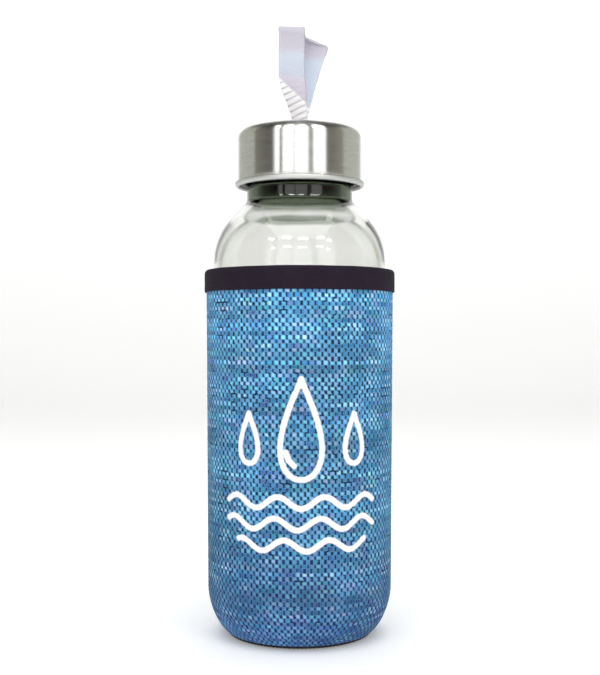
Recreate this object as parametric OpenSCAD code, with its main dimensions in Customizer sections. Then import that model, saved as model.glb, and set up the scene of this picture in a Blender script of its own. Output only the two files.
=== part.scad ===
// Glass water bottle with a steel screw lid, a ribbon loop and a padded cloth sleeve.
// Units are millimetres. +Z is up, the origin is the centre of the flat base, and -Y is the front.

/* [Glass] */
// Outer radius of the glass body
glass_r = 30.1; // [29.7:0.1:30.2]
// Wall of the glass body
glass_wall = 2.4; // [1.8:0.1:2.8]
// Outer radius of the neck below the thread
neck_r = 18.6; // [18.3:0.1:18.8]
// Radius of the mouth
mouth_r = 14.8; // [14.0:0.1:15.2]
// Height of the glass rim above the table
rim_z = 168.5; // [168.5:0.5:172]
// Height at which the shoulder starts
shoulder_z = 130; // [128.5:0.5:130.5]

/* [Thread] */
// Rise of the lid in one turn
lead = 4.2; // [4.0:0.1:4.4]
// Turns of thread on the neck
neck_turns = 1.5; // [1:0.25:1.5]

/* [Lid] */
// Outer radius of the steel shell
lid_r = 21.9; // [21.8:0.1:22.4]
// Height of the lid from its bead to its flat top
lid_h = 20.35; // [20.35:0.1:20.75]
// Thickness of the steel sheet
steel_t = 0.5; // [0.4:0.05:0.5]
// Rounding of the shell's top edge
lid_round = 3.2; // [2.4:0.2:3.6]

/* [Sleeve] */
// Height of the sleeve to the top of its binding
sleeve_h = 127; // [122:1:128]
// Outer radius of the cloth at the top
cloth_top_r = 33; // [33:0.1:33.4]
// Outer radius of the cloth where the heel starts
cloth_low_r = 32.27; // [32.2:0.05:32.6]
// Thickness of the woven cloth
cloth_t = 0.8; // [0.6:0.1:0.8]
// Height of the black binding tape
binding_h = 7.8; // [6:0.2:9]

/* [Ribbon] */
// Thickness of the ribbon, with room for its ribs
ribbon_t = 0.9; // [0.7:0.1:1]

/* [Hidden] */
$fn = 96;

run_gap = 0.25;        // running gap between the glass and the sleeve
skin_gap = 0.02;       // gap between sewn or pressed layers of one body

// Sleeve heel: a superellipse from the wall to the base
heel_in = 8.89;
heel_up = 16.4;
heel_power = 1.7;
base_r = 23.3;
base_t = 2.6;
edging_r = 1;

// Glass: the base stands on the sleeve's base
glass_z = base_t + 0.2;
glass_heel_in = 8.6;
glass_heel_up = 13.5;
glass_heel_power = 1.75;
glass_base_t = 4.6;
push_up = 2.2;
push_up_r = 19;
shoulder_r = 22;       // radius of the shoulder's arc
shoulder_turn = 42;    // angle through which it turns before the straight cone
shoulder_drop = 1.6;   // how far the inner arc sits lower, so the wall thickens up the shoulder
neck_fillet = 3;
mouth_fillet = 1.5;
finish_r = neck_r - 1; // root radius of the threaded finish
finish_z = 156;
rim_round = 1;
thread_crest_r = 18.7;
thread_low_z = 159.6;

// Lid
lid_top_z = rim_z + 8.2;
lid_low_z = lid_top_z - lid_h;
bead_r = 0.95;
hole_r = 3.6;          // hole in the shell's top for the eyelet
shell_in_r = lid_r - steel_t;
liner_r = shell_in_r - 0.1;
liner_root_r = 19.1;
liner_crest_r = 17.95;
liner_low_z = lid_low_z + 0.85;
liner_plate_z = rim_z + 2.2;
liner_plate_t = 1.6;
flank_gap = 0.12;      // axial play between the two threads
ridge_root = 0.95;     // half widths of a thread ridge at its root and crest
ridge_crest = 0.5;
seal_r = 18.3;

// Ribbon and its anchor
pivot_z = lid_top_z + 1.8;
knuckle_r = 1.6;
eyelet_in_r = 3.1;
eyelet_lip_r = 4.8;
stem_w = 5.4;
stem_d = 2.4;
crimp_r = 4.3;

// Stations along the ribbon's loop, from its front foot over the top to its back foot:
// x, y, height above the lid's top, width, how far the width leans down to the right in degrees,
// and how far its right side is turned towards the front in degrees
RIBBON = [[0, -1.0, 2.4, 5.2, 0, 0], [-0.2, -1.9, 6.0, 5.8, -10, -4], [-1.0, -3.3, 10, 7.2, -14, -12],
          [-2.0, -4.6, 14.3, 9.0, -8, -22], [-2.6, -5.2, 19, 10, -2, -28], [-2.7, -5.3, 26, 10, -2, -28],
          [-2.66, -5.3, 31.7, 10, -3, -28], [-2.65, -5.1, 33.8, 10, -5, -28], [-2.64, -4.2, 34.9, 10, -6, -28],
          [-2.74, -0.8, 35.4, 10, -2, -26], [-2.1, 3.75, 35.1, 10, 9, -17], [0.05, 5.66, 34.5, 10, 15, -10],
          [2.75, 7.1, 33.6, 10, 21, -4], [4.55, 8.0, 32.3, 10, 24, 0], [3.7, 8.4, 28.8, 10, 23, 4],
          [2.56, 8.1, 25.8, 10, 21, 6], [1.1, 6.5, 19, 9.0, 18, 5], [0.4, 4.9, 13.2, 7.4, 13, 0],
          [0.2, 2.6, 7.2, 6.0, 6, 0], [0, 1.0, 2.4, 5.2, 0, 0]];

function arc(c, r, from, to, n) =
    [for (i = [0:n]) let(a = from + (to - from) * i / n) c + r * [cos(a), sin(a)]];

// A superellipse quarter from the wall at radius r down and in to the height z
function heel(r, in, up, power, z, n) =
    [for (i = [0:n]) let(a = 90 * i / n)
        [r - in + in * pow(cos(a), 2 / power), z + up - up * pow(sin(a), 2 / power)]];

function reversed(p) = [for (i = [len(p) - 1:-1:0]) p[i]];

// An outline that runs down the outside of a turned part, moved inwards by t
function inset(p, t) =
    [for (i = [0:len(p) - 1])
        let(d = p[min(i + 1, len(p) - 1)] - p[max(i - 1, 0)])
        p[i] + t / norm(d) * [d[1], -d[0]]];

function above(p, z) = [for (q = p) if (q[1] >= z) q];

function cloth_outline() =
    concat([[cloth_top_r, sleeve_h - 0.7]],
           above(heel(cloth_low_r, heel_in, heel_up, heel_power, 0, 18), 0.9));

function glass_heel() =
    heel(glass_r, glass_heel_in, glass_heel_up, glass_heel_power, glass_z, 12);

// A helical ridge of trapezoid section about +Z. side is 1 for an outside ridge and -1 for an inside one.
module ridge(root_r, crest_r, z, turns, side) {
    steps = round(48 * turns);
    taper = 3;             // steps over which the ridge runs out at each end
    sunk = 0.3;            // depth to which it is sunk in its wall
    function height(i) = min(1, (min(i, steps - i) + 0.4) / taper);
    points = [for (i = [0:steps])
        let(a = 360 * turns * i / steps, h = height(i), tip = root_r + (crest_r - root_r) * h,
            mid = z + lead * turns * i / steps, foot = root_r - side * sunk,
            wide = ridge_root * (0.5 + 0.5 * h), narrow = ridge_crest * (0.5 + 0.5 * h))
        for (q = [[foot, mid - wide], [tip, mid - narrow], [tip, mid + narrow], [foot, mid + wide]])
            [q[0] * cos(a), q[0] * sin(a), q[1]]];
    quads = [for (i = [0:steps - 1], k = [0:3])
        let(a = 4 * i + k, b = 4 * i + (k + 1) % 4) [a, b, b + 4, a + 4]];
    ends = [[3, 2, 1, 0], [for (k = [0:3]) 4 * steps + k]];
    faces = concat(quads, ends);
    polyhedron(points, side > 0 ? faces : [for (f = faces) reversed(f)], convexity = 6);
}

module glass_bottle() {
    // Where the straight cone of the shoulder meets the fillet at the neck, outside and inside
    c = [glass_r - shoulder_r, shoulder_z];
    slope = cos(shoulder_turn) / sin(shoulder_turn);
    out_end = c + shoulder_r * [cos(shoulder_turn), sin(shoulder_turn)];
    ci = c - [0, shoulder_drop];
    in_end = ci + (shoulder_r - glass_wall) * [cos(shoulder_turn), sin(shoulder_turn)];
    out_x = neck_r + neck_fillet * (1 - cos(shoulder_turn));
    in_x = mouth_r + mouth_fillet * (1 - cos(shoulder_turn));
    out_c = [neck_r + neck_fillet,
             out_end[1] + (out_end[0] - out_x) * slope + neck_fillet * sin(shoulder_turn)];
    in_c = [mouth_r + mouth_fillet,
            in_end[1] + (in_end[0] - in_x) * slope + mouth_fillet * sin(shoulder_turn)];
    in_r = glass_r - glass_wall;
    floor_z = glass_z + glass_base_t;
    under = [for (i = [0:8]) let(r = push_up_r * i / 8)
        [r, glass_z + push_up * (1 - pow(i / 8, 2))]];
    floor_in = heel(in_r, 7.6, 11, 1.9, floor_z, 10);
    floor_mid = [for (i = [7:-1:0]) let(s = i / 8)
        [(in_r - 7.6) * s, floor_z + 1.2 * (1 - pow(s, 2))]];
    color("azure", 0.35)
    union() {
        rotate_extrude()
            polygon(concat(
                under, reversed(glass_heel()),
                arc(c, shoulder_r, 0, shoulder_turn, 10),
                arc(out_c, neck_fillet, 180 + shoulder_turn, 180, 5),
                arc([finish_r, finish_z - 1], 1, 0, 90, 4),
                arc([finish_r - rim_round, rim_z - rim_round], rim_round, 0, 90, 5),
                arc([mouth_r + rim_round, rim_z - rim_round], rim_round, 90, 180, 5),
                arc(in_c, mouth_fillet, 180, 180 + shoulder_turn, 5),
                arc(ci, shoulder_r - glass_wall, shoulder_turn, 0, 10),
                floor_in, floor_mid));
        ridge(finish_r, thread_crest_r, thread_low_z, neck_turns, 1);
    }
}

// Deep-drawn steel cup with a crease above the rolled bead at its open end
module lid_shell() {
    corner = [lid_r - lid_round, lid_top_z - lid_round];
    bead = [lid_r - 0.05, lid_low_z + bead_r];
    color("silver")
    rotate_extrude()
        polygon(concat(
            [[hole_r, lid_top_z - steel_t], [hole_r, lid_top_z]],
            arc(corner, lid_round, 90, 0, 10),
            [[lid_r, lid_low_z + 2.2], [lid_r - 0.16, lid_low_z + 2 * bead_r + 0.05]],
            arc(bead, bead_r, 84, -90, 12),
            [[shell_in_r, lid_low_z + 0.1]],
            arc(corner, lid_round - steel_t, 0, 90, 8)));
}

// Moulded insert that carries the thread and holds the seal
module lid_liner() {
    top_z = liner_plate_z + liner_plate_t;
    catch_z = rim_z - 0.3;
    ridge_z = thread_low_z - ridge_root - ridge_crest + 0.2 - flank_gap;
    start = 37;            // the ridge starts this far round, clear of the open end
    color("dimgray")
    union() {
        rotate_extrude()
            polygon([
                [0, liner_plate_z], [18.4, liner_plate_z], [18.4, catch_z + 0.4],
                [liner_crest_r, catch_z + 0.25], [liner_crest_r, catch_z], [liner_root_r, catch_z - 0.6],
                [liner_root_r, liner_low_z + 0.4], [liner_root_r + 0.4, liner_low_z],
                [liner_r, liner_low_z], [liner_r, top_z - 0.5], [liner_r - 0.5, top_z],
                [13.5, top_z], [13.5, lid_top_z - steel_t - 0.1], [12, lid_top_z - steel_t - 0.1],
                [12, top_z], [0, top_z]]);
        rotate([0, 0, start])
            ridge(liner_root_r, liner_crest_r, ridge_z + lead * start / 360, 1.25, -1);
    }
}

// Flat silicone ring between the glass rim and the liner
module lid_seal() {
    color("white")
    rotate_extrude()
        polygon([[mouth_r + 0.3, rim_z + 0.1], [seal_r - 0.2, rim_z + 0.1], [seal_r, rim_z + 0.3],
                 [seal_r, rim_z + 1.9], [seal_r - 0.2, rim_z + 2.1], [mouth_r + 0.3, rim_z + 2.1],
                 [mouth_r + 0.1, rim_z + 1.9], [mouth_r + 0.1, rim_z + 0.3]]);
}

// Rolled steel eyelet that lines the hole and keeps the sheet's edge off the ribbon
module lid_eyelet() {
    lip_c = [(eyelet_in_r + eyelet_lip_r) / 2, lid_top_z + skin_gap];
    lip = (eyelet_lip_r - eyelet_in_r) / 2;
    low_z = lid_top_z - steel_t;
    color("gainsboro")
    rotate_extrude()
        polygon(concat(
            arc(lip_c, lip, 180, 0, 12),
            [[hole_r - 0.05, lid_top_z + skin_gap], [hole_r - 0.05, low_z - skin_gap],
             [4.6, low_z - skin_gap], [4.6, low_z - 0.45], [eyelet_in_r, low_z - 0.45]]));
}

// Washer under the shell's top that the crimp pulls against
module lid_washer() {
    color("silver")
    translate([0, 0, lid_top_z - steel_t - 1.1])
    difference() {
        cylinder(h = 0.6, r = 8);
        translate([0, 0, -1]) cylinder(h = 3, r = 3.2);
    }
}

// Plain solid of the ribbon's loop, with the rounded foot on which it folds over
module strap_loop() {
    last = len(RIBBON) - 1;
    half = ribbon_t / 2;
    points = [for (i = [0:last])
        let(s = RIBBON[i], a = RIBBON[max(i - 1, 0)], b = RIBBON[min(i + 1, last)],
            along = [b[0] - a[0], b[1] - a[1], b[2] - a[2]],
            wide = [cos(s[4]) * cos(s[5]), -cos(s[4]) * sin(s[5]), -sin(s[4])],
            out = cross(along, wide), up = out / norm(out),
            c = [s[0], s[1], s[2] + lid_top_z])
        for (q = [[-1, -1], [1, -1], [1, 1], [-1, 1]])
            c + q[0] * s[3] / 2 * wide + q[1] * half * up];
    quads = [for (i = [0:last - 1], k = [0:3])
        let(a = 4 * i + k, b = 4 * i + (k + 1) % 4) each [[b + 4, b, a], [a + 4, b + 4, a]]];
    ends = [[0, 1, 2], [0, 2, 3], [4 * last + 2, 4 * last + 1, 4 * last],
            [4 * last + 3, 4 * last + 2, 4 * last]];
    color("lavender")
    union() {
        polyhedron(points, concat(quads, ends), convexity = 8);
        translate([-stem_w / 2, 0, pivot_z]) rotate([0, 90, 0]) cylinder(h = stem_w, r = knuckle_r);
    }
}

module stem_outline(gap) {
    intersection() {
        circle(r = 2.85 + gap);
        square([stem_w + 2 * gap, stem_d + 2 * gap], center = true);
    }
}

// The ribbon's two ends, bunched together through the eyelet
module strap_stem() {
    low_z = liner_plate_z + liner_plate_t + 0.3;
    color("lavender")
    translate([0, 0, low_z])
        linear_extrude(pivot_z - knuckle_r - 0.3 - low_z) stem_outline(0);
}

// Ferrule squeezed on the two ends under the washer
module strap_crimp() {
    low_z = liner_plate_z + liner_plate_t + 0.5;
    color("silver")
    translate([0, 0, low_z])
    difference() {
        cylinder(h = 1.9, r = crimp_r);
        translate([0, 0, -1]) linear_extrude(4) stem_outline(skin_gap);
    }
}

// Outer tube of coarse woven cloth, drawn in round the heel
module sleeve_cloth() {
    outline = cloth_outline();
    color("steelblue")
    rotate_extrude() polygon(concat(outline, reversed(inset(outline, cloth_t))));
}

// Foam lining between the cloth and the glass
module sleeve_lining() {
    floor_z = base_t + skin_gap;
    leg_r = glass_r + run_gap + 0.52;
    leg_z = sleeve_h - binding_h + 0.6;
    outside = above(inset(cloth_outline(), cloth_t + skin_gap), floor_z);
    inside = above(inset(glass_heel(), -run_gap), floor_z);
    color("black")
    rotate_extrude()
        polygon(concat(
            outside, [[outside[len(outside) - 1][0] - 0.6, floor_z]],
            [[inside[len(inside) - 1][0], floor_z]], reversed(inside),
            [[glass_r + run_gap, leg_z], [leg_r, leg_z], [leg_r, sleeve_h - 0.7]]));
}

// Woven tape folded over the sleeve's top edge
module sleeve_binding() {
    tape = 0.55;
    out_r = cloth_top_r + tape + skin_gap;
    in_r = glass_r + run_gap;
    low_z = sleeve_h - binding_h;
    under_z = sleeve_h - 0.68;
    color("black")
    rotate_extrude()
        polygon(concat(
            [[cloth_top_r + skin_gap, low_z], [out_r - 0.1, low_z], [out_r, low_z + 0.2]],
            arc([out_r - 1.2, sleeve_h - 1.2], 1.2, 0, 90, 6),
            arc([in_r + 0.9, sleeve_h - 0.9], 0.9, 90, 180, 5),
            [[in_r, low_z + 0.8], [in_r + 0.5, low_z + 0.8], [in_r + 0.5, under_z],
             [cloth_top_r + skin_gap, under_z]]));
}

// Round foam-backed base that the sleeve stands on
module sleeve_base() {
    color("black")
    rotate_extrude()
        polygon(concat([[0, 0]], arc([base_r - 1, 1], 1, -90, 0, 5), [[base_r, base_t], [0, base_t]]));
}

// Cord edging in the seam between the base and the cloth
module sleeve_base_edging() {
    color("black")
    rotate_extrude()
        translate([base_r + edging_r + skin_gap, edging_r]) circle(r = edging_r, $fn = 24);
}

glass_bottle();
lid_shell();
lid_liner();
lid_seal();
lid_eyelet();
lid_washer();
strap_loop();
strap_stem();
strap_crimp();
sleeve_cloth();
sleeve_lining();
sleeve_binding();
sleeve_base();
sleeve_base_edging();
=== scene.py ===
# Glass water bottle with a steel lid, a ribbon loop and a padded sleeve, in metres, standing on z = 0
import math
import bmesh
import bpy
import numpy as np
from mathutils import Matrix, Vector


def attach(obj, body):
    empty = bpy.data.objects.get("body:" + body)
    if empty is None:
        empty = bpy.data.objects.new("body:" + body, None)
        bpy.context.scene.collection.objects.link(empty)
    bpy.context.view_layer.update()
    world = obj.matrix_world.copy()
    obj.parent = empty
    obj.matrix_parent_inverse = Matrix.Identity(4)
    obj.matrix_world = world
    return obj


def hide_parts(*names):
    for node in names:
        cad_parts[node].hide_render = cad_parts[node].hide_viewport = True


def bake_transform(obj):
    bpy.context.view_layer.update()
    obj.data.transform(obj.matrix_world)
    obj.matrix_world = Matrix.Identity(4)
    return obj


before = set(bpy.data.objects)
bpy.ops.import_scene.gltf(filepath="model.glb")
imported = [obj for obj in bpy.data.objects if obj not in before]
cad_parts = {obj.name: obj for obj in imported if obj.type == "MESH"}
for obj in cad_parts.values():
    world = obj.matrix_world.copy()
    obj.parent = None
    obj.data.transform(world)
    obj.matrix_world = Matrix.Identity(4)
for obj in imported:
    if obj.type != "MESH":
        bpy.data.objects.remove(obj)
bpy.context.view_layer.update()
MM = 0.001

# ---------------------------------------------------------------- outlines, in mm, as in the CAD part

def arc(cx, cz, r, start, end, n):
    return [(cx + r * math.cos(math.radians(start + (end - start) * i / n)),
             cz + r * math.sin(math.radians(start + (end - start) * i / n))) for i in range(n + 1)]


def heel(r, inward, up, power, z, n):
    """A rounded bottom corner that runs down from (r, z + up) to (r - inward, z)."""
    out = []
    for i in range(n + 1):
        a = math.radians(90 * i / n)
        out.append((r - inward + inward * math.cos(a) ** (2 / power),
                    z + up - up * math.sin(a) ** (2 / power)))
    return out


def inset(line, t):
    """The outline, which runs down the outside, moved inwards by t."""
    out = []
    for i in range(len(line)):
        a, b = line[max(i - 1, 0)], line[min(i + 1, len(line) - 1)]
        d = (b[0] - a[0], b[1] - a[1])
        n = math.hypot(*d)
        out.append((line[i][0] + t * d[1] / n, line[i][1] - t * d[0] / n))
    return out


def above(line, z):
    return [p for p in line if p[1] >= z]


def resample(line, step):
    """The same outline with points about step apart, its corners kept."""
    out = [line[0]]
    for a, b in zip(line, line[1:]):
        n = max(1, int(math.ceil(math.hypot(b[0] - a[0], b[1] - a[1]) / step)))
        out += [(a[0] + (b[0] - a[0]) * k / n, a[1] + (b[1] - a[1]) * k / n) for k in range(1, n + 1)]
    return out


def lengths(line):
    d = np.hypot(np.diff([p[0] for p in line]), np.diff([p[1] for p in line]))
    return np.concatenate([[0], np.cumsum(d)])

# ---------------------------------------------------------------- meshes

def make(name, verts, faces, uvs=None, smooth=True):
    """A mesh object from points in mm. uvs are one pair per face corner."""
    me = bpy.data.meshes.new(name)
    me.from_pydata([tuple(v) for v in np.asarray(verts) * MM], [], faces)
    if uvs is not None:
        layer = me.uv_layers.new(name="UVMap")
        layer.data.foreach_set("uv", np.asarray(uvs, np.float32).ravel())
    me.validate()
    if smooth:
        me.polygons.foreach_set("use_smooth", [True] * len(me.polygons))
    ob = bpy.data.objects.new(name, me)
    bpy.context.scene.collection.objects.link(ob)
    return ob


def lathe(name, line, segs=160, shape=None):
    """A turned piece from an outline of (r, z) in mm that closes on itself or starts and ends on the axis.
    shape(angle, s, r, z) gives offsets in r and z, with s the length along the outline."""
    s = lengths(line)
    closed = not (line[0][0] < 1e-6 and line[-1][0] < 1e-6)
    a = np.linspace(0, 2 * math.pi, segs, endpoint=False)
    verts, rows = [], []
    for k, (r, z) in enumerate(line):
        if r < 1e-6:
            rows.append([len(verts)])
            verts.append((0, 0, z))
            continue
        dr, dz = shape(a, s[k], r, z) if shape else (np.zeros(segs), np.zeros(segs))
        rows.append(list(range(len(verts), len(verts) + segs)))
        verts += list(zip((r + dr) * np.cos(a), (r + dr) * np.sin(a), z + dz * np.ones(segs)))
    faces, uvs = [], []
    top = s[-1]
    pairs = list(zip(range(len(line) - 1), range(1, len(line))))
    if closed:
        pairs.append((len(line) - 1, 0))
    for i, j in pairs:
        p, q = rows[i], rows[j]
        v0, v1 = s[i] / top, (s[j] / top if j else 1.0)
        for k in range(segs):
            n = (k + 1) % segs
            u0, u1 = k / segs, (k + 1) / segs
            if len(p) == 1 and len(q) == 1:
                continue
            if len(p) == 1:
                faces.append((p[0], q[n], q[k]))
                uvs += [(u0, v0), (u1, v1), (u0, v1)]
            elif len(q) == 1:
                faces.append((p[k], p[n], q[0]))
                uvs += [(u0, v0), (u1, v0), (u0, v1)]
            else:
                faces.append((p[k], p[n], q[n], q[k]))
                uvs += [(u0, v0), (u1, v0), (u1, v1), (u0, v1)]
    ob = make(name, verts, faces, uvs)
    fix_normals(ob)
    return ob


def fix_normals(ob):
    bm = bmesh.new()
    bm.from_mesh(ob.data)
    bmesh.ops.recalc_face_normals(bm, faces=bm.faces)
    bm.to_mesh(ob.data)
    bm.free()

# ---------------------------------------------------------------- materials

class Mat:
    """A procedural material: m.n(type, ...) adds a node and m.link joins sockets."""

    def __init__(self, name, **values):
        self.m = bpy.data.materials.new(name)
        self.m.use_nodes = True
        self.t = self.m.node_tree
        self.b = self.t.nodes["Principled BSDF"]
        for k, v in values.items():
            self.b.inputs[k.replace("_", " ")].default_value = v

    def n(self, kind, ins=None, **props):
        node = self.t.nodes.new("ShaderNode" + kind)
        for k, v in props.items():
            setattr(node, k, v)
        for k, v in (ins or {}).items():
            self.put(node.inputs[k], v)
        return node

    def put(self, socket, v):
        if isinstance(v, bpy.types.NodeSocket):
            self.t.links.new(v, socket)
        else:
            socket.default_value = v

    def link(self, v, name):
        self.put(self.b.inputs[name], v)

    def math(self, op, a, b=0.0, c=0.0, clamp=False):
        node = self.n("Math", operation=op, use_clamp=clamp)
        for s, v in zip(node.inputs, (a, b, c)):
            self.put(s, v)
        return node.outputs[0]

    def mix(self, f, a, b):
        node = self.n("Mix", data_type="RGBA")
        for socket, v in ((0, f), (6, a), (7, b)):
            self.put(node.inputs[socket], v)
        return node.outputs[2]

    def ramp(self, f, stops):
        node = self.n("ValToRGB", {"Fac": f})
        r = node.color_ramp
        while len(r.elements) < len(stops):
            r.elements.new(1)
        for e, (p, c) in zip(r.elements, stops):
            e.position = p
            e.color = c if len(c) == 4 else (*c, 1)
        return node.outputs["Color"]

    def noise(self, vector, scale, detail=2.0, rough=0.5):
        node = self.n("TexNoise", {"Scale": scale, "Detail": detail, "Roughness": rough})
        self.put(node.inputs["Vector"], vector)
        return node.outputs[0]

    def scaled(self, vector, k):
        return self.n("VectorMath", {0: vector, 1: k}, operation="MULTIPLY").outputs[0]

    def span(self, value, low, high, to_low=0.0, to_high=1.0, smooth=False):
        """value, with low to high mapped to to_low to to_high and held at those ends."""
        node = self.n("MapRange", {"Value": value, "From Min": low, "From Max": high,
                                   "To Min": to_low, "To Max": to_high})
        node.interpolation_type = "SMOOTHSTEP" if smooth else "LINEAR"
        return node.outputs[0]

    def times(self, colour, k):
        return self.n("VectorMath", {0: colour, "Scale": k}, operation="SCALE").outputs[0]

    def bump(self, height, strength, distance):
        node = self.n("Bump", {"Height": height, "Strength": strength, "Distance": distance})
        self.link(node.outputs[0], "Normal")
        return node


def srgb(r, g, b):
    """A colour given in 8-bit sRGB, as a linear one with alpha."""
    def linear(c):
        return c / 12.92 if c <= 0.04045 else ((c + 0.055) / 1.055) ** 2.4
    return tuple(linear(c / 255) for c in (r, g, b)) + (1,)


def steel(name, base, rough, brushed=True, lines=900):
    """Steel with fine lines that run round the axis. Brushed steel stretches its highlights too."""
    m = Mat(name, Metallic=1.0, Roughness=rough, Anisotropic=0.88 if brushed else 0.0)
    m.b.inputs["Anisotropic Rotation"].default_value = 0.25
    pos = m.n("TexCoord").outputs["Object"]
    x, y, z = m.n("SeparateXYZ", {0: pos}).outputs
    r = m.math("SQRT", m.math("ADD", m.math("POWER", x, 2.0), m.math("POWER", y, 2.0)))
    round_axis = m.math("MULTIPLY", m.math("ARCTAN2", x, y), 0.0006)
    turn = m.n("CombineXYZ", {0: r, 1: z, 2: round_axis}).outputs[0]
    fine = m.noise(turn, lines * 6, 3, 0.7)
    wide = m.noise(pos, 60, 3, 0.6)
    dark, light = tuple(c * 0.86 for c in base), tuple(min(1, c * 1.08) for c in base)
    rough_out = m.math("MULTIPLY_ADD", fine, 0.1, m.math("MULTIPLY_ADD", wide, 0.04, rough - 0.07))
    m.link(m.ramp(fine, [(0.3, dark), (0.7, light)]), "Base Color")
    m.link(rough_out, "Roughness")
    m.bump(fine, 0.12, 0.00003)
    if brushed:
        m.link(m.n("Tangent", direction_type="RADIAL", axis="Z").outputs[0], "Tangent")
    return m.m


def plastic(name, low, high, rough, grain=9000):
    m = Mat(name, Roughness=rough)
    pos = m.n("TexCoord").outputs["Object"]
    fine, wide = m.noise(pos, grain, 2), m.noise(pos, 120, 3)
    m.link(m.ramp(wide, [(0.3, low), (0.7, high)]), "Base Color")
    m.link(m.math("MULTIPLY_ADD", wide, 0.14, rough - 0.07), "Roughness")
    m.bump(fine, 0.25, 0.00004)
    return m.m


def glass_material():
    m = Mat("glass_clear", Roughness=0.0, IOR=1.5)
    m.b.inputs["Transmission Weight"].default_value = 1.0
    pos = m.n("TexCoord").outputs["Object"]
    wave = m.noise(m.scaled(pos, (1, 1, 0.35)), 45, 2)
    clear = m.ramp(wave, [(0.3, (0.882, 0.889, 0.868)), (0.7, (0.897, 0.902, 0.882))])
    # Painted shade: from where the shoulder ends, the thick neck's glass is tinted a deep dark green,
    # standing in for the dark of the insert seen through it
    z = m.n("SeparateXYZ", {0: pos}).outputs[2]
    neck = m.span(m.math("ADD", z, m.math("MULTIPLY", wave, 0.0008)), 0.1498, 0.1512, smooth=True)
    m.link(m.mix(neck, clear, (0.11, 0.135, 0.095, 1)), "Base Color")
    m.b.inputs["Specular IOR Level"].default_value = 0.12
    m.bump(wave, 0.25, 0.0006)
    return m.m


def knit(name, low, high, across, along, rough=0.9, sheen=0.04, depth=0.00018):
    """Close-woven tape or knitted face: fine diagonal and cross ribs from the piece's UV map."""
    m = Mat(name, Roughness=rough)
    m.b.inputs["Sheen Weight"].default_value = sheen
    m.b.inputs["Specular IOR Level"].default_value = 0.15
    uv = m.n("SeparateXYZ", {0: m.n("UVMap", uv_map="UVMap").outputs[0]})
    u, v = m.math("MULTIPLY", uv.outputs[0], across), m.math("MULTIPLY", uv.outputs[1], along)
    a = m.math("SINE", m.math("MULTIPLY", m.math("ADD", u, m.math("MULTIPLY", v, 0.5)), 2 * math.pi))
    b = m.math("SINE", m.math("MULTIPLY", v, 2 * math.pi))
    cell = m.math("MULTIPLY_ADD", m.math("MULTIPLY", a, b), 0.25, m.math("MULTIPLY_ADD", b, 0.2, 0.5))
    pos = m.n("TexCoord").outputs["Object"]
    patch = m.noise(pos, 150, 4, 0.65)
    f = m.math("MULTIPLY_ADD", patch, 0.75, m.math("MULTIPLY_ADD", cell, 0.5, -0.12))
    m.link(m.ramp(f, [(0.2, low), (0.8, high)]), "Base Color")
    m.link(m.math("MULTIPLY_ADD", patch, 0.2, rough - 0.12), "Roughness")
    m.bump(m.math("ADD", cell, m.math("MULTIPLY", m.noise(pos, 3000, 2), 0.3)), 0.8, depth)
    return m.m

# ---------------------------------------------------------------- glass bottle

GLASS_Z, BASE_T, SLEEVE_H, BINDING_H = 2.8, 2.6, 127.0, 7.8
LID_TOP, LID_LOW, RIM = 176.7, 156.35, 168.5
LEAD, NECK_TURNS, THREAD_Z = 4.2, 1.5, 159.6
NECK_R, THREAD_R = 17.6, 18.7                     # the neck's finish, and the crest of the thread on it
GLASS_HEEL = (30.1, 8.6, 13.5, 1.75, GLASS_Z)     # as heel() takes it


def ridge(a, z, low, turns, start, tall):
    """How far a thread stands out of its wall at angle a and height z. It starts at (start, low)."""
    best = np.zeros_like(a)
    for n in range(-1, int(math.ceil(turns)) + 1):
        t = (a - start) / (2 * math.pi) % 1.0 + n
        inside = (t >= 0) & (t <= turns)
        ends = np.clip(np.minimum(t, turns - t) * 48 / 3 + 0.13, 0, 1)
        d = np.abs(z - (low + LEAD * t))
        h = np.clip((0.95 - d) / 0.45, 0, 1) * tall
        best = np.maximum(best, np.where(inside, h * ends, 0))
    return best


def glass_outline():
    c, turn = (8.1, 130.0), math.radians(42)
    slope = math.cos(turn) / math.sin(turn)
    oe = (c[0] + 22 * math.cos(turn), c[1] + 22 * math.sin(turn))
    ci = (8.1, 130.0 - 1.6)                       # the wall thickens up the shoulder
    ie = (ci[0] + 19.6 * math.cos(turn), ci[1] + 19.6 * math.sin(turn))
    ox, ix = 18.6 + 3 * (1 - math.cos(turn)), 14.8 + 1.5 * (1 - math.cos(turn))
    oc = (21.6, oe[1] + (oe[0] - ox) * slope + 3 * math.sin(turn))
    ic = (16.3, ie[1] + (ie[0] - ix) * slope + 1.5 * math.sin(turn))
    under = [(19 * i / 12, GLASS_Z + 2.2 * (1 - (i / 12) ** 2)) for i in range(13)]
    floor_in = heel(27.7, 7.6, 11, 1.9, 7.4, 20)
    floor_mid = [(20.1 * i / 12, 7.4 + 1.2 * (1 - (i / 12) ** 2)) for i in range(11, -1, -1)]
    outer = (under + heel(*GLASS_HEEL, 24)[::-1] + arc(*c, 22, 0, 42, 24) + arc(*oc, 3, 222, 180, 10)
             + arc(NECK_R, 155, 1, 0, 90, 6))
    finish = [(NECK_R, z) for z in np.arange(156.3, 167.4, 0.16)]
    rest = (arc(16.6, 167.5, 1, 0, 90, 8) + arc(15.8, 167.5, 1, 90, 180, 8)
            + arc(*ic, 1.5, 180, 222, 10) + arc(*ci, 19.6, 42, 0, 24) + floor_in + floor_mid)
    return resample(outer, 2.5) + finish + resample(rest, 2.5)


def glass_shape(a, s, r, z):
    if abs(r - NECK_R) < 1e-6 and z > 156.2:
        return ridge(a, z, THREAD_Z, NECK_TURNS, 0.0, THREAD_R - NECK_R), 0 * a
    return 0 * a, 0 * a


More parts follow.
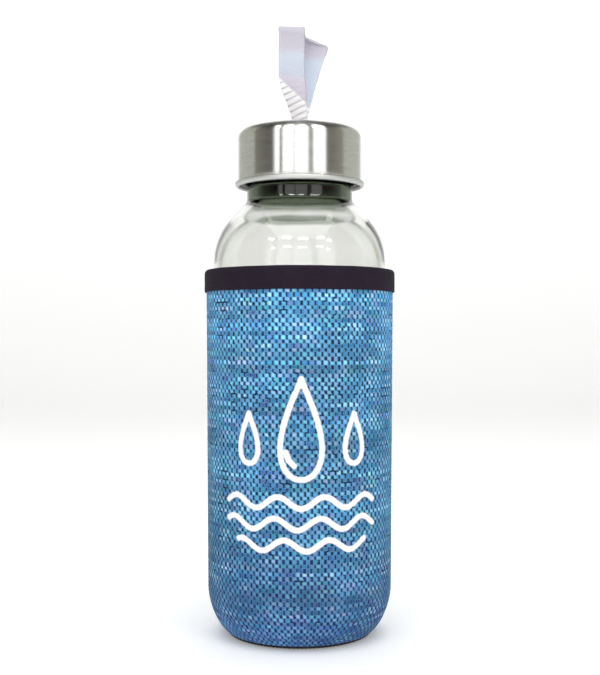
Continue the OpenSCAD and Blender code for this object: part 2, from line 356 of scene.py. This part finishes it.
glass = lathe("glass_body", glass_outline(), 192, glass_shape)
glass.data.materials.append(glass_material())
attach(glass, "bottle")
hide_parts("glass_bottle")

# ---------------------------------------------------------------- lid

# The crease and the rolled bead, as radius and height above the lid's lower edge
BEAD = [(21.9, 2.15), (21.86, 2.03), (21.74, 1.94), (22.2, 1.86), (22.55, 1.74), (22.74, 1.58), (22.8, 1.38),
        (22.77, 1.12), (22.68, 0.78), (22.54, 0.42), (22.32, 0.14), (22.0, 0), (21.6, 0), (21.4, 0.1)]
CREASE = 1.95                                     # height of the line between brushed side and satin bead

corner = (21.9 - 3.2, LID_TOP - 3.2)
shell_line = ([(3.6, LID_TOP - 0.5), (3.6, LID_TOP), (9, LID_TOP)] + arc(*corner, 3.2, 90, 0, 18)
              + [(r, LID_LOW + h) for r, h in BEAD] + arc(*corner, 2.7, 0, 90, 12))
shell = lathe("lid_steel", resample(shell_line, 1.5), 224)
shell.data.materials.append(steel("steel_brushed", (0.66, 0.655, 0.63), 0.2))
# Satin below the crease, where the sheet is rolled over
shell.data.materials.append(steel("steel_rolled", (0.62, 0.63, 0.61), 0.5, False))
for face in shell.data.polygons:
    face.material_index = int(face.center.z < (LID_LOW + CREASE) * MM)
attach(shell, "lid")
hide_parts("lid_shell")

start = math.radians(37)
low_ridge = THREAD_Z - 1.25 - 0.12 + LEAD * 37 / 360
top = RIM + 2.2 + 1.6
liner_r = 19.1                                    # the wall that the lid's own thread stands on
liner_line = ([(0, RIM + 2.2), (18.4, RIM + 2.2), (18.4, RIM + 0.1), (17.95, RIM - 0.05), (17.95, RIM - 0.3),
               (liner_r, RIM - 0.9)]
              + [(liner_r, z) for z in np.arange(167.4, 157.7, -0.16)]
              + [(liner_r, 157.6), (19.5, 157.2), (21.2, 157.2), (21.3, 157.3), (21.3, top - 0.5),
                 (20.8, top), (13.5, top), (13.5, LID_TOP - 0.6), (12, LID_TOP - 0.6), (12, top), (0, top)])


def liner_shape(a, s, r, z):
    if abs(r - liner_r) < 1e-6:
        return -ridge(a, z, low_ridge, 1.25, start, 1.15), 0 * a
    return 0 * a, 0 * a


liner = lathe("lid_insert", liner_line, 144, liner_shape)
liner.data.materials.append(plastic("liner_black", (0.012, 0.012, 0.013), (0.022, 0.022, 0.023), 0.45))
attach(liner, "lid")
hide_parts("lid_liner")

for node, mat in (("lid_seal", plastic("silicone", (0.74, 0.74, 0.71), (0.83, 0.83, 0.8), 0.5)),
                  ("lid_eyelet", steel("steel_bright", (0.72, 0.71, 0.69), 0.16, False, 400)),
                  ("lid_washer", steel("steel_washer", (0.6, 0.6, 0.59), 0.3, False, 500)),
                  ("strap_crimp", steel("steel_crimp", (0.55, 0.55, 0.53), 0.32, False, 500))):
    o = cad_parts[node]
    o.data.materials.clear()
    o.data.materials.append(mat)

# ---------------------------------------------------------------- sleeve

cloth_line = [(33.0, SLEEVE_H - 0.7)] + above(heel(32.27, 8.89, 16.4, 1.7, 0, 40), 0.9)
lining_low = BASE_T + 0.02
lining_line = above(inset(cloth_line, 0.82), lining_low)
inside_line = above(inset(heel(*GLASS_HEEL, 24), -0.25), lining_low)
leg_z = SLEEVE_H - BINDING_H + 0.6
lining_floor = [(lining_line[-1][0] - 0.6, lining_low), (inside_line[-1][0], lining_low)]
lining_rim = [(30.35, leg_z), (30.87, leg_z), (30.87, SLEEVE_H - 0.7)]
lining = lathe("sleeve_foam", resample(lining_line + lining_floor + inside_line[::-1] + lining_rim, 4), 144)
lining.data.materials.append(knit("knit_black", (0.006, 0.006, 0.008), (0.02, 0.019, 0.024), 260, 330))
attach(lining, "sleeve")
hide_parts("sleeve_lining")

# Woven cloth: upright threads round the sleeve and rows of weft down it, each crossing raised or sunk
WARP, WEFT = 176, 92


def hash01(i, j, k=0.0):
    v = np.sin(i * 127.1 + j * 311.7 + k * 74.7) * 43758.5453
    return v - np.floor(v)


def thread_walk(n, seed):
    """Uneven thread spacing, as sums of smooth noise, in thread widths."""
    g = np.random.default_rng(seed)
    x = np.arange(n)
    waves = (2, 5, 9, 17, 23)
    return sum(g.uniform(0.03, 0.11) * np.sin(2 * math.pi * (f * x / n + g.uniform())) for f in waves)


def weave_cloth():
    # Outside outline at an even step down the sleeve, for rows of 3.5 samples a thread
    fine = resample(cloth_line, 0.1)
    s = lengths(fine)
    rows, cols = int(WEFT * 3.5), int(WARP * 3.5)
    at = np.linspace(0, s[-1], rows)
    r = np.interp(at, s, [p[0] for p in fine])
    z = np.interp(at, s, [p[1] for p in fine])
    dr, dz = np.gradient(r, at), np.gradient(z, at)
    n = np.hypot(dr, dz)
    nr, nz = -dz / n, dr / n                      # outward normal of the outline, which runs down
    a = np.linspace(0, 2 * math.pi, cols, endpoint=False)
    A, R = np.meshgrid(a, r)
    V = at[:, None] / s[-1] * WEFT * np.ones_like(A)
    U = A / (2 * math.pi) * WARP
    wu, wv = thread_walk(WARP, 3), thread_walk(WEFT, 5)
    U = U + np.interp(V, np.arange(WEFT), wv) * 0.5
    V = V + np.interp(A / (2 * math.pi) * WARP, np.arange(WARP), wu, period=WARP) * 0.6
    i, j = np.floor(U), np.floor(V)
    fu, fv = U - i - 0.5, V - j - 0.5
    over = np.where((i + j) % 2 == 0, 1.0, -1.0)  # 1 where the upright thread is on top
    fat_u = 0.27 + 0.09 * hash01(i % WARP, 0 * i, 1)
    fat_v = 0.47 + 0.06 * hash01(0 * j, j, 2)
    up = np.sqrt(np.clip(1 - (fu / fat_u) ** 2, 0, 1)) * 0.5 + over * 0.42 * np.cos(math.pi * fv)
    across = np.sqrt(np.clip(1 - (fv / fat_v) ** 2, 0, 1)) * 0.5 - over * 0.42 * np.cos(math.pi * fu)
    up = np.where(np.abs(fu) > fat_u, -0.9, up)
    across = np.where(np.abs(fv) > fat_v, -0.9, across)
    h = np.maximum(np.maximum(up, across), -0.75)
    fade = np.clip(np.minimum(at, s[-1] - at) / 1.2, 0, 1)[:, None]
    lift = (h * 0.26 - 0.22) * fade - 0.05        # mm, at most flush with the cloth's outside
    sag = 0.05 * np.sin(3 * A + 0.6) * np.sin(at / s[-1] * math.pi * 2)[:, None] - 0.05
    off = lift + sag
    X = (R + off * nr[:, None]) * np.cos(A)
    Y = (R + off * nr[:, None]) * np.sin(A)
    Z = z[:, None] + off * nz[:, None] * np.ones_like(A)
    outer = np.stack([X, Y, Z], -1).reshape(-1, 3)
    # Inside of the cloth: a smooth skin at a coarser step, joined at both rims
    t = 0.72
    Xi = (r - t * nr)[:, None] * np.cos(A)
    Yi = (r - t * nr)[:, None] * np.sin(A)
    Zi = (z - t * nz)[:, None] * np.ones_like(A)
    inner_rows = np.unique(np.concatenate([np.arange(0, rows, 12), [rows - 1]]))
    inner = np.stack([Xi, Yi, Zi], -1)[inner_rows].reshape(-1, 3)
    k = np.arange(cols)
    nxt = (k + 1) % cols
    faces, uv = [], []
    for row in range(rows - 1):
        a0, b0 = row * cols, (row + 1) * cols
        faces.append(np.stack([a0 + k, b0 + k, b0 + nxt, a0 + nxt], -1))
        v0, v1 = 1 - at[row] / s[-1], 1 - at[row + 1] / s[-1]
        corners = ((k / cols, v0), (k / cols, v1), ((k + 1) / cols, v1), ((k + 1) / cols, v0))
        uv.append(np.stack([np.stack([u, 0 * k + v], -1) for u, v in corners], 1))
    base = rows * cols
    m = len(inner_rows)
    edge = [(base + q * cols, base + (q + 1) * cols) for q in range(m - 1)]
    quads = [np.stack([a0 + k, a0 + nxt, b0 + nxt, b0 + k], -1) for a0, b0 in edge]
    quads.append(np.stack([k, nxt, base + nxt, base + k], -1))
    last_o, last_i = (rows - 1) * cols, base + (m - 1) * cols
    quads.append(np.stack([last_o + nxt, last_o + k, last_i + k, last_i + nxt], -1))
    for q in quads:
        faces.append(q)
        uv.append(np.stack([np.stack([k / cols, 0 * k + 0.999], -1)] * 4, 1))
    F = np.concatenate(faces).tolist()
    ob = make("sleeve_weave", np.concatenate([outer, inner]), F, np.concatenate(uv).reshape(-1, 2))
    me = ob.data
    count = len(me.vertices)

    def attribute(name, values, kind="FLOAT"):
        full = np.zeros(count, np.float32)
        full[:len(values)] = values
        me.attributes.new(name, kind, "POINT").data.foreach_set("value", full)

    # 1 where the upright thread shows, thread numbers, and the depth of each point
    attribute("hole", np.clip((-h - 0.25) / 0.5, 0, 1).ravel())
    attribute("upright", np.where(up >= across, 1.0, 0.0).ravel())
    attribute("thread_u", (i % WARP + 0.0 * i).ravel())
    attribute("thread_v", j.ravel())
    attribute("crest", h.ravel())
    arc_x = ((A + math.pi / 2 + math.pi) % (2 * math.pi) - math.pi) * 32.4   # mm round from the front
    attribute("print", print_distance(arc_x.ravel(), (Z * np.ones_like(A)).ravel()))
    return ob, 2 * math.pi * 32.6 * MM, s[-1] * MM


def segment_distance(px, py, pts):
    best = np.full(px.shape, 99.0)
    for (ax, ay), (bx, by) in zip(pts, pts[1:]):
        dx, dy = bx - ax, by - ay
        t = np.clip(((px - ax) * dx + (py - ay) * dy) / (dx * dx + dy * dy + 1e-9), 0, 1)
        best = np.minimum(best, np.hypot(px - ax - t * dx, py - ay - t * dy))
    return best


def drop(cx, low, w, h):
    """Outline of a water drop with its point up."""
    out = []
    for k in range(49):
        t = 2 * math.pi * k / 48
        out.append((cx + w / 2 * math.sin(t) * math.sin(t / 2) ** 1.3, low + h / 2 * (1 + math.cos(t))))
    return out


def wave(x0, x1, y, high, turns, phase=0.0):
    n = 60
    return [(x0 + (x1 - x0) * k / n, y + high * math.sin(2 * math.pi * turns * k / n + phase))
            for k in range(n + 1)]


def print_distance(px, py):
    """Distance in mm from the nearest printed line, less half its width.
    The print is a drop between two smaller ones, over three waves."""
    lines = [drop(0.5, 57, 19, 33), [(-4.5, 66), (-3.6, 63.4), (-1.8, 61.6)],
             drop(-17.5, 62, 9.5, 16.5), drop(19, 62, 9.5, 16.5),
             wave(-26.5, 27.5, 49.5, 1.9, 3.5), wave(-26.5, 27.5, 42.5, 1.9, 3.5, 0.5),
             wave(-22, 23.5, 35.5, 1.8, 3, 0.9)]
    near = np.abs(px) < 34
    out = np.full(px.shape, 9.0, np.float32)
    d = np.full(near.sum(), 99.0)
    for l in lines:
        d = np.minimum(d, segment_distance(px[near], py[near], l))
    out[near] = d - 0.95
    return np.clip(out, -2, 9)


def cloth_material():
    m = Mat("cloth_weave", Roughness=0.75)
    m.b.inputs["Specular IOR Level"].default_value = 0.15
    m.b.inputs["Sheen Weight"].default_value = 0.05
    m.b.inputs["Sheen Roughness"].default_value = 0.4

    def attr(name):
        return m.n("Attribute", attribute_name=name).outputs["Fac"]
    uv = m.n("UVMap", uv_map="UVMap").outputs[0]
    pos = m.n("TexCoord").outputs["Object"]
    up, tu, tv = attr("upright"), attr("thread_u"), attr("thread_v")
    flat = m.math("SUBTRACT", 1.0, up)            # 1 where the weft shows
    row = m.math("SUBTRACT", 300.0, tv)           # kept apart from the upright threads' numbers
    number = m.math("ROUND", m.math("ADD", m.math("MULTIPLY", tu, up), m.math("MULTIPLY", row, flat)))
    # Each thread has its own dye, which changes along it
    sep = m.n("SeparateXYZ", {0: uv})
    along = m.math("ADD", m.math("MULTIPLY", sep.outputs[1], m.math("MULTIPLY", up, 14.0)),
                   m.math("MULTIPLY", sep.outputs[0], m.math("MULTIPLY", flat, 22.0)))
    place = m.n("CombineXYZ", {0: m.math("MULTIPLY", number, 3.7), 1: along, 2: 0.0}).outputs[0]
    dye = m.noise(place, 1.0, 3, 0.6)
    elsewhere = m.n("VectorMath", {0: place, 1: (31.0, 17.0, 5.0)}, operation="ADD").outputs[0]
    tone = m.noise(elsewhere, 1.6, 2, 0.5)
    weft = m.ramp(dye, [(0.28, srgb(40, 92, 142)), (0.38, srgb(78, 142, 180)), (0.47, srgb(118, 180, 208)),
                        (0.57, srgb(160, 216, 236)), (0.70, srgb(222, 242, 250))])
    warp = m.ramp(dye, [(0.26, srgb(4, 20, 46)), (0.42, srgb(12, 50, 92)), (0.54, srgb(24, 82, 132)),
                        (0.66, srgb(44, 116, 170)), (0.78, srgb(110, 184, 230))])
    shade = m.mix(up, weft, warp)
    each = m.n("TexWhiteNoise", {"W": number}, noise_dimensions="1D").outputs["Value"]
    hue = m.ramp(tone, [(0.34, srgb(126, 66, 170)), (0.43, srgb(84, 104, 190)), (0.5, srgb(70, 142, 200)),
                        (0.6, srgb(60, 158, 196)), (0.68, srgb(20, 160, 150))])
    col = m.mix(0.42, shade, m.mix(up, hue, m.times(hue, 0.12)))
    big = m.noise(m.scaled(pos, (1, 1, 1.4)), 55, 3, 0.6)
    z = m.n("SeparateXYZ", {0: pos}).outputs[2]
    # Painted light and shade: the cloth is made lighter towards the top and darker towards the bottom, as if
    # lit from above
    painted_top_light = m.span(z, 0.02, 0.115, 0.74, 1.08)
    uneven = m.math("MULTIPLY_ADD", big, -1.1, m.math("MULTIPLY_ADD", each, 0.44, 1.32))
    # Darker and more indigo towards the bottom
    low = m.span(z, 0.04, 0.004, 0.0, 0.3)
    col = m.mix(low, col, srgb(76, 84, 168))
    # Painted light and shade: the tops of the threads are made lighter and their low sides darker
    crest = m.span(attr("crest"), -0.35, 0.8, 0.52, 1.25, smooth=True)
    col = m.times(col, m.math("MULTIPLY", crest, m.math("MULTIPLY", painted_top_light, uneven)))
    # Painted shade: the gaps between the threads are darkened to a deep navy
    dark = m.math("MULTIPLY", attr("hole"), 0.85, clamp=True)
    col = m.mix(dark, col, srgb(8, 40, 76))
    fibre = m.noise(pos, 5200, 2, 0.6)
    deeper = m.n("Gamma", {0: col, 1: 1.25}).outputs[0]
    col = m.mix(m.math("MULTIPLY_ADD", fibre, 0.9, -0.25, clamp=True), deeper, col)
    edge = m.math("MULTIPLY_ADD", m.noise(pos, 900, 2), 0.5, -0.25)
    ink = m.math("SUBTRACT", 0.5, m.math("MULTIPLY", m.math("ADD", attr("print"), edge), 2.6), clamp=True)
    ink = m.math("MULTIPLY", ink, m.math("SUBTRACT", 1.0, m.math("MULTIPLY", attr("hole"), 0.25)))
    white = m.mix(m.noise(pos, 90, 2), srgb(255, 246, 252), srgb(250, 252, 255))
    m.link(m.mix(ink, col, white), "Base Color")
    m.link(m.math("MULTIPLY_ADD", ink, -0.2, m.math("MULTIPLY_ADD", fibre, 0.2, 0.66)), "Roughness")
    m.bump(fibre, 0.35, 0.00008)
    return m.m


cloth, round_m, down_m = weave_cloth()
cloth.data.materials.append(cloth_material())
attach(cloth, "sleeve")
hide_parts("sleeve_cloth")

# Folded tape round the top, with a slightly uneven edge
tape_low = SLEEVE_H - BINDING_H
tape_line = ([(33.02, tape_low + 0.05), (33.3, tape_low), (33.52, tape_low + 0.12), (33.57, tape_low + 0.45)]
             + arc(33.57 - 1.3, SLEEVE_H - 1.3, 1.3, 0, 90, 10)
             + arc(30.35 + 0.9, SLEEVE_H - 0.9, 0.9, 90, 180, 8)
             + [(30.35, tape_low + 0.8), (30.85, tape_low + 0.8), (30.85, SLEEVE_H - 0.68),
                (33.02, SLEEVE_H - 0.68)])


def tape_shape(a, s, r, z):
    out = 1.0 if r > 33.1 else 0.0
    pull = 0.04 * np.sin(7 * a + 1) + 0.03 * np.sin(17 * a)
    loose = (1 if z < tape_low + 3 else 0.6) * (1 if r > 33.1 or z > 125 else 0)
    return -out * (0.05 + 0.05 * np.abs(np.sin(23 * a + z))), pull * loose


tape = lathe("sleeve_tape", resample(tape_line, 0.6), 240, tape_shape)
tape_black = knit("tape_black", srgb(26, 19, 30), srgb(44, 33, 49), 520, 34, 0.9, 0.01, 0.00012)
tape.data.materials.append(tape_black)
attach(tape, "sleeve")
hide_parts("sleeve_binding")



def foot_shape(a, s, r, z):
    """The underside rises a little towards its middle."""
    return 0 * a, 0 * a + (0.12 * (1 - (r / 23.3) ** 2) if z < 0.5 else 0)


foot_line = [(0, 0)] + arc(22.3, 1, 1, -90, 0, 8) + [(23.3, BASE_T), (0, BASE_T)]
base = lathe("sleeve_foot", resample(foot_line, 1.2), 144, foot_shape)
base.data.materials.append(knit("foot_black", (0.006, 0.006, 0.008), (0.022, 0.02, 0.026), 220, 60))
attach(base, "sleeve")
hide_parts("sleeve_base")


def cord_shape(a, s, r, z):
    k = 0.05 * np.cos(110 * a + s * 1.2)
    return k * (r - 24.32), k * (z - 1)


edging = lathe("foot_edging", arc(24.32, 1.0, 0.96, 0, 348, 29), 400, cord_shape)
edging.data.materials.append(knit("edging_black", (0.008, 0.008, 0.01), (0.03, 0.028, 0.034), 400, 6))
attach(edging, "sleeve")
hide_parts("sleeve_base_edging")

# ---------------------------------------------------------------- ribbon

# Across the ribbon's middle: x, y, height above the lid's top, width, how far the width leans down to the
# right, and how far its right side turns to the front
STATIONS = [(0, -0.75, -3.8, 4.9, 0, 0), (0, -0.75, -1.0, 4.9, 0, 0), (0, -0.8, 1.6, 4.9, 0, 0),
            (-0.1, -1.5, 4.6, 5.5, -8, -2), (-0.7, -2.6, 8.0, 6.6, -14, -8),
            (-1.5, -3.9, 11.6, 8.2, -12, -16), (-2.3, -4.9, 15.4, 9.6, -6, -24),
            (-2.65, -5.25, 19, 10, -2, -28), (-2.7, -5.3, 26, 10, -2, -28),
            (-2.66, -5.3, 31.7, 10, -3, -28), (-2.65, -5.14, 34.0, 10, -5, -28),
            (-2.64, -4.43, 35.05, 10, -6, -28), (-2.67, -2.9, 35.55, 10, -5, -27.5),
            (-2.74, -0.8, 35.6, 10, -2, -26), (-2.83, 1.53, 35.35, 10, 3, -22),
            (-2.1, 3.75, 34.7, 10, 9, -17), (0.05, 5.66, 34.35, 10, 15, -10), (2.8, 7.1, 33.9, 10, 21, -4),
            (5.65, 7.95, 33.2, 10, 24, 0), (5.25, 8.3, 31.4, 10, 24, 2), (4.2, 8.4, 28.85, 10, 23, 4),
            (3.2, 8.1, 25.8, 10, 21, 6), (2.15, 7.0, 21.1, 9.4, 19, 6), (1.35, 5.7, 16.5, 8.4, 16, 3),
            (1.1, 4.9, 13.2, 7.4, 13, 0), (0.5, 3.1, 8.4, 6.2, 8, 0), (0.1, 1.4, 4.0, 5.2, 2, 0),
            (0, 0.75, 1.0, 4.9, 0, 0), (0, 0.75, -1.4, 4.9, 0, 0), (0, 0.75, -3.8, 4.9, 0, 0)]


def ribbon():
    st = np.array(STATIONS, float)
    d = np.linalg.norm(np.diff(st[:, :3], axis=0), axis=1)
    key = np.concatenate([[0], np.cumsum(d)])
    steps, across = 420, 16
    at = np.linspace(0, key[-1], steps)

    def smooth(col):
        m = np.gradient(col, key)
        k = np.clip(np.searchsorted(key, at, "right") - 1, 0, len(key) - 2)
        h = key[k + 1] - key[k]
        t = (at - key[k]) / h
        return ((2 * t**3 - 3 * t**2 + 1) * col[k] + (t**3 - 2 * t**2 + t) * h * m[k]
                + (-2 * t**3 + 3 * t**2) * col[k + 1] + (t**3 - t**2) * h * m[k + 1])
    x, y, z, w, lean, turn = (smooth(st[:, c]) for c in range(6))
    lean, turn = np.radians(lean), np.radians(turn)
    c = np.stack([x, y, z + LID_TOP], -1)
    tan = np.gradient(c, axis=0)
    tan /= np.linalg.norm(tan, axis=1)[:, None]
    wide = np.stack([np.cos(lean) * np.cos(turn), -np.cos(lean) * np.sin(turn), -np.sin(lean)], -1)
    out = np.cross(tan, wide)
    out /= np.linalg.norm(out, axis=1)[:, None]
    s = np.concatenate([[0], np.cumsum(np.linalg.norm(np.diff(c, axis=0), axis=1))])
    t = np.linspace(-1, 1, across + 1)
    # Where the ribbon is narrower than its 10 mm, it is cupped and creased
    squeeze = np.clip(1 - w / 10, 0, 1)
    bulge = 0.28 * (1 - t**2) + 0.16 * np.sin(4.5 * t)
    cup = np.sqrt(squeeze)[:, None] * bulge[None, :]
    inner = np.clip((z + 3) / 3, 0.35, 1)
    cup *= np.where(y < 0, -1.0, 1.0)[:, None] * inner[:, None] * np.where(z < 3, 0.5, 1)[:, None]
    ribs = 0.055 * np.cos(2 * math.pi * s / 0.8)[:, None] * np.clip((1 - np.abs(t)) * 9, 0, 1)[None, :]
    crush = 0.13 * np.sin(2 * math.pi * s / 2.2)[:, None] * np.clip(squeeze * 3.2, 0, 1)[:, None]
    crush = crush * (1 - 0.5 * t**2)[None, :] * np.clip((z - 2) / 3, 0, 1)[:, None]
    half = 0.2 + 0.05 * (np.abs(t) > 0.86)[None, :]   # half the thickness, more at the selvedges
    side = (w / 2)[:, None, None] * t[None, :, None] * wide[:, None, :]
    mid = c[:, None, :] + side + (cup + crush)[..., None] * out[:, None, :]
    front = mid + (half + ribs)[..., None] * out[:, None, :]
    back = mid - (half + ribs)[..., None] * out[:, None, :]
    ring = np.concatenate([front, back[:, ::-1]], axis=1)
    n = ring.shape[1]
    verts = ring.reshape(-1, 3)
    tt = np.concatenate([t, t[::-1]])
    faces, uv = [], []
    for i in range(steps - 1):
        for k in range(n):
            m = (k + 1) % n
            faces.append((i * n + k, i * n + m, (i + 1) * n + m, (i + 1) * n + k))
            u0, u1 = (tt[k] + 1) / 2, (tt[m] + 1) / 2
            uv += [(u0, s[i] / 10), (u1, s[i] / 10), (u1, s[i + 1] / 10), (u0, s[i + 1] / 10)]
    faces.append(tuple(range(n)))
    uv += [(0.5, 0)] * n
    faces.append(tuple((steps - 1) * n + k for k in range(n - 1, -1, -1)))
    uv += [(0.5, s[-1] / 10)] * n
    ob = make("ribbon_loop", verts, faces, uv)
    fix_normals(ob)
    # Where each point is at rest, so that the dye and the painted light and shade stay on the cloth when the
    # loop folds or rises
    rest = ob.data.attributes.new("rest_place", "FLOAT_VECTOR", "POINT")
    rest.data.foreach_set("vector", (verts * MM).astype(np.float32).ravel())
    return ob, s[-1]


def ribbon_material():
    m = Mat("ribbon_weave", Roughness=0.55)
    m.b.inputs["Sheen Weight"].default_value = 0.2
    m.b.inputs["Sheen Roughness"].default_value = 0.3
    uv = m.n("SeparateXYZ", {0: m.n("UVMap", uv_map="UVMap").outputs[0]})
    pos = m.n("Attribute", attribute_name="rest_place").outputs["Vector"]
    line = m.math("SINE", m.math("MULTIPLY", uv.outputs[1], 2 * math.pi * 10 / 0.8))
    thread = m.math("SINE", m.math("MULTIPLY", uv.outputs[0], 2 * math.pi * 34))
    patch = m.noise(pos, 75, 3, 0.6)
    x, y, z = m.n("SeparateXYZ", {0: pos}).outputs
    height = m.span(m.math("MULTIPLY_ADD", patch, 0.006, z), 0.187, 0.217)
    tint = m.ramp(height, [(0.3, srgb(214, 206, 221)), (0.4, srgb(206, 213, 229)), (0.6, srgb(208, 217, 231)),
                           (0.7, srgb(206, 201, 215)), (0.9, srgb(198, 193, 207))])
    # On the strand behind, the blue goes on down to the foot
    behind = m.ramp(height, [(0.02, srgb(226, 226, 238)), (0.16, srgb(208, 220, 236)),
                             (0.62, srgb(206, 217, 232)), (0.72, srgb(206, 201, 215)),
                             (0.9, srgb(198, 193, 207))])
    tint = m.mix(m.math("GREATER_THAN", y, 0.001), tint, behind)
    f = m.math("MULTIPLY_ADD", line, 0.09, m.math("MULTIPLY_ADD", thread, 0.04, 0.1), clamp=True)
    # Below a slanting fold the ribbon is gathered into coarse ribs that rise to the right; painted light
    # makes it near-white there, and painted shade darkens the grooves between the ribs
    low = m.span(m.math("MULTIPLY_ADD", x, 0.81, z), 0.1882, 0.1874)
    rise = m.math("MULTIPLY_ADD", x, -0.5, z)
    coarse = m.math("SINE", m.math("MULTIPLY", rise, 2 * math.pi / 0.0022))
    deep = m.span(z, 0.193, 0.184, -0.35, 0.15)
    groove_shade = m.math("MULTIPLY", low, m.math("MULTIPLY_ADD", coarse, -0.95, deep, clamp=True))
    groove_shade = m.math("MULTIPLY", groove_shade, m.span(x, -0.004, 0.002, 0.9, 0.45))
    face = m.mix(f, tint, srgb(176, 174, 190))
    # Painted light: near-white below the fold
    face = m.mix(low, face, (1.0, 0.99, 1.0, 1))
    # Painted shade in the grooves between the coarse ribs
    m.link(m.mix(groove_shade, face, srgb(176, 172, 186)), "Base Color")
    m.link(m.math("MULTIPLY_ADD", patch, 0.2, 0.45), "Roughness")
    m.bump(m.math("ADD", m.math("MULTIPLY", line, 0.5), m.math("MULTIPLY", thread, 0.25)), 0.5, 0.00006)
    return m.m


loop, ribbon_len = ribbon()
loop.data.materials.append(ribbon_material())
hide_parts("strap_loop", "strap_stem")
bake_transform(loop)

# ---------------------------------------------------------------- floor, light and camera

def sweep():
    """A pale floor that curves up into a backdrop."""
    line = [(-1.3, 0.0), (1.2, 0.0)] + arc(1.2, 0.8, 0.8, -80, 0, 8) + [(2.0, 3.2)]
    verts = [(x, y, z - 0.0004) for y, z in line for x in (-1.1, 1.1)]
    faces = [(2 * i, 2 * i + 1, 2 * i + 3, 2 * i + 2) for i in range(len(line) - 1)]
    ob = make("floor", np.array(verts) / MM, faces)
    m = Mat("floor_pale", Roughness=0.8, Base_Color=(0.93, 0.93, 0.93, 1))
    m.b.inputs["Emission Color"].default_value = (1, 1, 1, 1)
    m.b.inputs["Emission Strength"].default_value = 0.2
    ob.data.materials.append(m.m)
    return ob


sweep()

world = bpy.data.worlds.new("studio")
bpy.context.scene.world = world
world.use_nodes = True
wt = world.node_tree
background = wt.nodes["Background"]


def wnode(kind, **props):
    n = wt.nodes.new("ShaderNode" + kind)
    for k, v in props.items():
        setattr(n, k, v)
    return n


def wmath(op, a, b=0.0):
    n = wnode("Math", operation=op)
    for s, v in zip(n.inputs, (a, b)):
        if isinstance(v, bpy.types.NodeSocket):
            wt.links.new(v, s)
        else:
            s.default_value = v
    return n.outputs[0]


sep = wnode("SeparateXYZ")
wt.links.new(wnode("TexCoord").outputs["Generated"], sep.inputs[0])
# 0 at the camera's side, and more to the right
side = wmath("ARCTAN2", sep.outputs[0], wmath("MULTIPLY", sep.outputs[1], -1.0))
place = wmath("MULTIPLY_ADD", side, 1 / (2 * math.pi))
place.node.inputs[2].default_value = 0.5
ramp = wnode("ValToRGB")
wt.links.new(place, ramp.inputs[0])


def grey(v, tint=(1, 1, 1)):
    return (v * tint[0], v * tint[1], v * tint[2], 1)


olive, brown, pale = (1, 0.97, 0.8), (1, 0.93, 0.86), (0.96, 1, 0.9)
# Round the object, in degrees: the bands that the steel mirrors
bands = [(-180, grey(1.0)), (-165, grey(0.95)), (-140, grey(0.62, pale)), (-93, grey(0.56, pale)),
         (-88, grey(0.25, olive)), (-57, grey(0.12, brown)), (-50, grey(0.12, brown)), (-44, grey(1.8)),
         (-38, grey(1.7)), (-36.5, grey(0.02)), (-32.5, grey(0.02)), (-31, grey(1.8)), (-13, grey(1.7)),
         (-10, grey(0.95)), (-7, grey(1.8)), (15, grey(1.7)), (18, grey(0.32)), (24, grey(0.36)),
         (27, grey(1.8)), (47, grey(1.9)), (51, grey(0.22, brown)), (60, grey(0.2, olive)),
         (84, grey(0.33, olive)), (92, grey(0.6, pale)), (140, grey(0.66, pale)), (165, grey(0.95)),
         (180, grey(1.0))]
r = ramp.color_ramp
while len(r.elements) < len(bands):
    r.elements.new(1)
for e, (deg, c) in zip(r.elements, bands):
    e.position = deg / 360 + 0.5
    e.color = c
overhead = wnode("MapRange", interpolation_type="SMOOTHSTEP")
wt.links.new(sep.outputs[2], overhead.inputs["Value"])
for k, v in (("From Min", 0.5), ("From Max", 0.72), ("To Min", 1.0), ("To Max", 0.3)):
    overhead.inputs[k].default_value = v
dimmed = wnode("VectorMath", operation="SCALE")
wt.links.new(ramp.outputs["Color"], dimmed.inputs[0])
wt.links.new(overhead.outputs[0], dimmed.inputs["Scale"])
# Past the floor the camera sees a plain pale studio
seen = wnode("Mix", data_type="RGBA")
wt.links.new(wnode("LightPath").outputs["Is Camera Ray"], seen.inputs[0])
wt.links.new(dimmed.outputs[0], seen.inputs[6])
seen.inputs[7].default_value = (1.0, 1.0, 1.0, 1)
wt.links.new(seen.outputs[2], background.inputs["Color"])
background.inputs["Strength"].default_value = 1.0


def lamp(name, at, target, size, power, color=(1, 1, 1)):
    d = bpy.data.lights.new(name, "AREA")
    d.shape, d.size, d.size_y, d.energy, d.color = "RECTANGLE", size[0], size[1], power, color
    o = bpy.data.objects.new(name, d)
    bpy.context.scene.collection.objects.link(o)
    o.location = at
    o.rotation_euler = (Vector(target) - Vector(at)).to_track_quat("-Z", "Y").to_euler()
    return o


top_lamp = lamp("top_light", (0, -0.15, 1.1), (0, 0, 0.1), (1.0, 1.0), 8.5)
top_lamp.visible_glossy = False
# Small lamps that put a row of glints on the shoulder: x, y, z and width
GLINTS = [(-0.75, -0.82, 0.853, 0.15), (-0.356, -1.0, 0.925, 0.26), (0.095, -1.079, 0.897, 0.26),
          (0.571, -0.903, 0.915, 0.22), (0.774, -0.827, 0.819, 0.13)]
for i, (x, y, z, w) in enumerate(GLINTS):
    glint = lamp("glint_%d" % i, (x, y, z), (0, -0.028, 0.136), (w, 0.1), 110 * w * 0.1)
    glint.visible_diffuse = False

cam = bpy.data.cameras.new("camera")
cam.lens, cam.sensor_width, cam.sensor_fit = 60.0, 36.0, "AUTO"
cam.clip_start = 0.01
camera = bpy.data.objects.new("camera", cam)
bpy.context.scene.collection.objects.link(camera)
camera.location = (0.00014, -0.398, 0.1034)
camera.rotation_euler = (math.radians(90), 0, 0)
bpy.context.scene.camera = camera
bpy.context.scene.view_settings.view_transform = "Standard"
